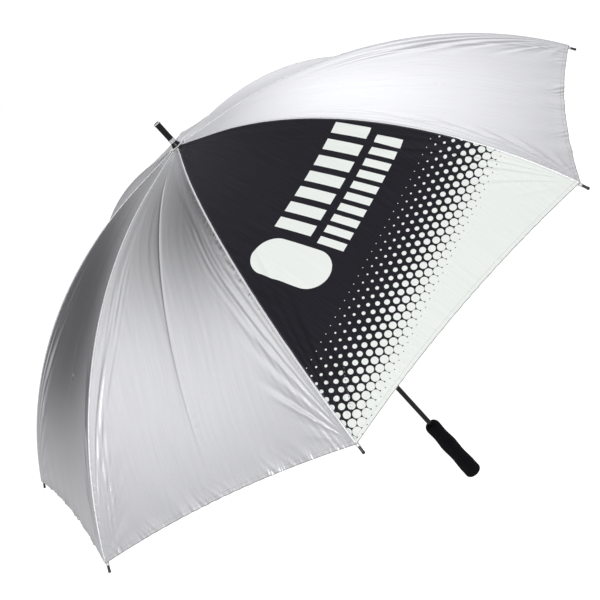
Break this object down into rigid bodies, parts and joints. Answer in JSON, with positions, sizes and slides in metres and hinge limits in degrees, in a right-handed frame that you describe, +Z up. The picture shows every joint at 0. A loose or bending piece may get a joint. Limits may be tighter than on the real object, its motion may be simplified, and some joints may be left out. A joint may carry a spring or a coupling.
{
  "type": "golf umbrella",
  "caption": "Open stick umbrella with a ribbed dome canopy, one dotted panel, a straight shaft, a ferrule and a foam grip; it folds closed by its runner.",
  "frame": {"origin": "centre of the grip's flat end face", "axes": "+Z up the shaft to the ferrule; -Y towards the middle of the printed panel"},
  "size_m": [1.2128, 1.2128, 0.9795],
  "materials": {
    "canopy_silver": "satin",
    "canopy_print": "satin",
    "shaft_black": "gloss",
    "foam": "matte",
    "ferrule_dark": "satin",
    "bright_trim": "polished",
    "washer": "satin",
    "black_plastic": "satin",
    "steel": "satin",
    "strut_steel": "satin",
    "rib_rod": "satin",
    "tip_plastic": "gloss"
  },
  "bodies": {
    "shaft": {"shaft_tube": "shaft_black", "ferrule": "ferrule_dark", "ferrule_band": "bright_trim", "ferrule_cap": "bright_trim", "crown_washer": "washer", "top_notch": "black_plastic", "crown_wire": "steel", "grip": "foam"},
    "rib_1_inner": {"rib_1": "rib_rod", "rib_bracket_1": "steel", "canopy_panel_1": "canopy_silver"},
    "rib_2_inner": {"rib_2": "rib_rod", "rib_bracket_2": "steel", "canopy_panel_2": "canopy_silver"},
    "rib_3_inner": {"rib_3": "rib_rod", "rib_bracket_3": "steel", "canopy_panel_3": "canopy_silver"},
    "rib_4_inner": {"rib_4": "rib_rod", "rib_bracket_4": "steel", "canopy_panel_4": "canopy_silver"},
    "rib_5_inner": {"rib_5": "rib_rod", "rib_bracket_5": "steel", "canopy_panel_5": "canopy_silver"},
    "rib_6_inner": {"rib_6": "rib_rod", "rib_bracket_6": "steel", "canopy_panel_6": "canopy_print"},
    "rib_7_inner": {"rib_7": "rib_rod", "rib_bracket_7": "steel", "canopy_panel_7": "canopy_silver"},
    "rib_8_inner": {"rib_8": "rib_rod", "rib_bracket_8": "steel", "canopy_panel_8": "canopy_silver"},
    "rib_1_outer": {"rib_outer_1": "rib_rod", "rib_tip_1": "tip_plastic"},
    "rib_2_outer": {"rib_outer_2": "rib_rod", "rib_tip_2": "tip_plastic"},
    "rib_3_outer": {"rib_outer_3": "rib_rod", "rib_tip_3": "tip_plastic"},
    "rib_4_outer": {"rib_outer_4": "rib_rod", "rib_tip_4": "tip_plastic"},
    "rib_5_outer": {"rib_outer_5": "rib_rod", "rib_tip_5": "tip_plastic"},
    "rib_6_outer": {"rib_outer_6": "rib_rod", "rib_tip_6": "tip_plastic"},
    "rib_7_outer": {"rib_outer_7": "rib_rod", "rib_tip_7": "tip_plastic"},
    "rib_8_outer": {"rib_outer_8": "rib_rod", "rib_tip_8": "tip_plastic"},
    "strut_1": {"stretcher_1": "strut_steel"},
    "strut_2": {"stretcher_2": "strut_steel"},
    "strut_3": {"stretcher_3": "strut_steel"},
    "strut_4": {"stretcher_4": "strut_steel"},
    "strut_5": {"stretcher_5": "strut_steel"},
    "strut_6": {"stretcher_6": "strut_steel"},
    "strut_7": {"stretcher_7": "strut_steel"},
    "strut_8": {"stretcher_8": "strut_steel"},
    "slider": {"runner": "black_plastic", "runner_wire": "steel"},
    "upper_catch": {"top_catch": "steel"},
    "lower_catch": {"bottom_catch": "steel"}
  },
  "joints": [
    {"name": "canopy_fold", "type": "hinge", "parent": "shaft", "child": "rib_1_inner", "pos_m": [0.00878, 0.00364, 0.915], "axis": [-0.3827, 0.9239, 0], "range_deg": [0, 76.67], "deforming": ["canopy_panel_1", "canopy_panel_2", "canopy_panel_3", "canopy_panel_4", "canopy_panel_5", "canopy_panel_6", "canopy_panel_7", "canopy_panel_8", "top_catch", "bottom_catch"]},
    {"name": "crown_hinge_2", "type": "hinge", "parent": "shaft", "child": "rib_2_inner", "pos_m": [0.00364, 0.00878, 0.915], "axis": [-0.9239, 0.3827, 0], "range_deg": [0, 76.67]},
    {"name": "crown_hinge_3", "type": "hinge", "parent": "shaft", "child": "rib_3_inner", "pos_m": [-0.00364, 0.00878, 0.915], "axis": [-0.9239, -0.3827, 0], "range_deg": [0, 76.67]},
    {"name": "crown_hinge_4", "type": "hinge", "parent": "shaft", "child": "rib_4_inner", "pos_m": [-0.00878, 0.00364, 0.915], "axis": [-0.3827, -0.9239, 0], "range_deg": [0, 76.67]},
    {"name": "crown_hinge_5", "type": "hinge", "parent": "shaft", "child": "rib_5_inner", "pos_m": [-0.00878, -0.00364, 0.915], "axis": [0.3827, -0.9239, 0], "range_deg": [0, 76.67]},
    {"name": "crown_hinge_6", "type": "hinge", "parent": "shaft", "child": "rib_6_inner", "pos_m": [-0.00364, -0.00878, 0.915], "axis": [0.9239, -0.3827, 0], "range_deg": [0, 76.67]},
    {"name": "crown_hinge_7", "type": "hinge", "parent": "shaft", "child": "rib_7_inner", "pos_m": [0.00364, -0.00878, 0.915], "axis": [0.9239, 0.3827, 0], "range_deg": [0, 76.67]},
    {"name": "crown_hinge_8", "type": "hinge", "parent": "shaft", "child": "rib_8_inner", "pos_m": [0.00878, -0.00364, 0.915], "axis": [0.3827, 0.9239, 0], "range_deg": [0, 76.67]},
    {"name": "bracket_hinge_1", "type": "hinge", "parent": "rib_1_inner", "child": "strut_1", "pos_m": [0.29094, 0.12051, 0.85104], "axis": [-0.3827, 0.9239, 0], "range_deg": [-153.34, 0]},
    {"name": "bracket_hinge_2", "type": "hinge", "parent": "rib_2_inner", "child": "strut_2", "pos_m": [0.12051, 0.29094, 0.85104], "axis": [-0.9239, 0.3827, 0], "range_deg": [-153.34, 0]},
    {"name": "bracket_hinge_3", "type": "hinge", "parent": "rib_3_inner", "child": "strut_3", "pos_m": [-0.12051, 0.29094, 0.85104], "axis": [-0.9239, -0.3827, 0], "range_deg": [-153.34, 0]},
    {"name": "bracket_hinge_4", "type": "hinge", "parent": "rib_4_inner", "child": "strut_4", "pos_m": [-0.29094, 0.12051, 0.85104], "axis": [-0.3827, -0.9239, 0], "range_deg": [-153.34, 0]},
    {"name": "bracket_hinge_5", "type": "hinge", "parent": "rib_5_inner", "child": "strut_5", "pos_m": [-0.29094, -0.12051, 0.85104], "axis": [0.3827, -0.9239, 0], "range_deg": [-153.34, 0]},
    {"name": "bracket_hinge_6", "type": "hinge", "parent": "rib_6_inner", "child": "strut_6", "pos_m": [-0.12051, -0.29094, 0.85104], "axis": [0.9239, -0.3827, 0], "range_deg": [-153.34, 0]},
    {"name": "bracket_hinge_7", "type": "hinge", "parent": "rib_7_inner", "child": "strut_7", "pos_m": [0.12051, -0.29094, 0.85104], "axis": [0.9239, 0.3827, 0], "range_deg": [-153.34, 0]},
    {"name": "bracket_hinge_8", "type": "hinge", "parent": "rib_8_inner", "child": "strut_8", "pos_m": [0.29094, -0.12051, 0.85104], "axis": [0.3827, 0.9239, 0], "range_deg": [-153.34, 0]},
    {"name": "rib_flex_1", "type": "hinge", "parent": "rib_1_inner", "child": "rib_1_outer", "pos_m": [0.29987, 0.12421, 0.85348], "axis": [-0.3827, 0.9239, 0], "range_deg": [-26, 0]},
    {"name": "rib_flex_2", "type": "hinge", "parent": "rib_2_inner", "child": "rib_2_outer", "pos_m": [0.12421, 0.29987, 0.85348], "axis": [-0.9239, 0.3827, 0], "range_deg": [-26, 0]},
    {"name": "rib_flex_3", "type": "hinge", "parent": "rib_3_inner", "child": "rib_3_outer", "pos_m": [-0.12421, 0.29987, 0.85348], "axis": [-0.9239, -0.3827, 0], "range_deg": [-26, 0]},
    {"name": "rib_flex_4", "type": "hinge", "parent": "rib_4_inner", "child": "rib_4_outer", "pos_m": [-0.29987, 0.12421, 0.85348], "axis": [-0.3827, -0.9239, 0], "range_deg": [-26, 0]},
    {"name": "rib_flex_5", "type": "hinge", "parent": "rib_5_inner", "child": "rib_5_outer", "pos_m": [-0.29987, -0.12421, 0.85348], "axis": [0.3827, -0.9239, 0], "range_deg": [-26, 0]},
    {"name": "rib_flex_6", "type": "hinge", "parent": "rib_6_inner", "child": "rib_6_outer", "pos_m": [-0.12421, -0.29987, 0.85348], "axis": [0.9239, -0.3827, 0], "range_deg": [-26, 0]},
    {"name": "rib_flex_7", "type": "hinge", "parent": "rib_7_inner", "child": "rib_7_outer", "pos_m": [0.12421, -0.29987, 0.85348], "axis": [0.9239, 0.3827, 0], "range_deg": [-26, 0]},
    {"name": "rib_flex_8", "type": "hinge", "parent": "rib_8_inner", "child": "rib_8_outer", "pos_m": [0.29987, -0.12421, 0.85348], "axis": [0.3827, 0.9239, 0], "range_deg": [-26, 0]},
    {"name": "runner_hinge", "type": "hinge", "parent": "strut_1", "child": "slider", "pos_m": [0.00878, 0.00364, 0.78707], "axis": [-0.3827, 0.9239, 0], "range_deg": [0, 76.67]},
    {"name": "upper_catch_press", "type": "slide", "parent": "shaft", "child": "upper_catch", "axis": [0, -1, 0], "range_m": [0, 0.0032], "stiffness_N_per_m": 400, "springref_m": -0.002},
    {"name": "lower_catch_press", "type": "slide", "parent": "shaft", "child": "lower_catch", "axis": [0, -1, 0], "range_m": [0, 0.0032], "stiffness_N_per_m": 400, "springref_m": -0.002}
  ],
  "couplings": [
    {"joint": "crown_hinge_2", "follows": "canopy_fold", "ratio": 1},
    {"joint": "crown_hinge_3", "follows": "canopy_fold", "ratio": 1},
    {"joint": "crown_hinge_4", "follows": "canopy_fold", "ratio": 1},
    {"joint": "crown_hinge_5", "follows": "canopy_fold", "ratio": 1},
    {"joint": "crown_hinge_6", "follows": "canopy_fold", "ratio": 1},
    {"joint": "crown_hinge_7", "follows": "canopy_fold", "ratio": 1},
    {"joint": "crown_hinge_8", "follows": "canopy_fold", "ratio": 1},
    {"joint": "bracket_hinge_1", "follows": "canopy_fold", "ratio": -2},
    {"joint": "bracket_hinge_2", "follows": "canopy_fold", "ratio": -2},
    {"joint": "bracket_hinge_3", "follows": "canopy_fold", "ratio": -2},
    {"joint": "bracket_hinge_4", "follows": "canopy_fold", "ratio": -2},
    {"joint": "bracket_hinge_5", "follows": "canopy_fold", "ratio": -2},
    {"joint": "bracket_hinge_6", "follows": "canopy_fold", "ratio": -2},
    {"joint": "bracket_hinge_7", "follows": "canopy_fold", "ratio": -2},
    {"joint": "bracket_hinge_8", "follows": "canopy_fold", "ratio": -2},
    {"joint": "rib_flex_1", "follows": "canopy_fold", "ratio": -0.33912},
    {"joint": "rib_flex_2", "follows": "canopy_fold", "ratio": -0.33912},
    {"joint": "rib_flex_3", "follows": "canopy_fold", "ratio": -0.33912},
    {"joint": "rib_flex_4", "follows": "canopy_fold", "ratio": -0.33912},
    {"joint": "rib_flex_5", "follows": "canopy_fold", "ratio": -0.33912},
    {"joint": "rib_flex_6", "follows": "canopy_fold", "ratio": -0.33912},
    {"joint": "rib_flex_7", "follows": "canopy_fold", "ratio": -0.33912},
    {"joint": "rib_flex_8", "follows": "canopy_fold", "ratio": -0.33912},
    {"joint": "runner_hinge", "follows": "canopy_fold", "ratio": 1}
  ]
}
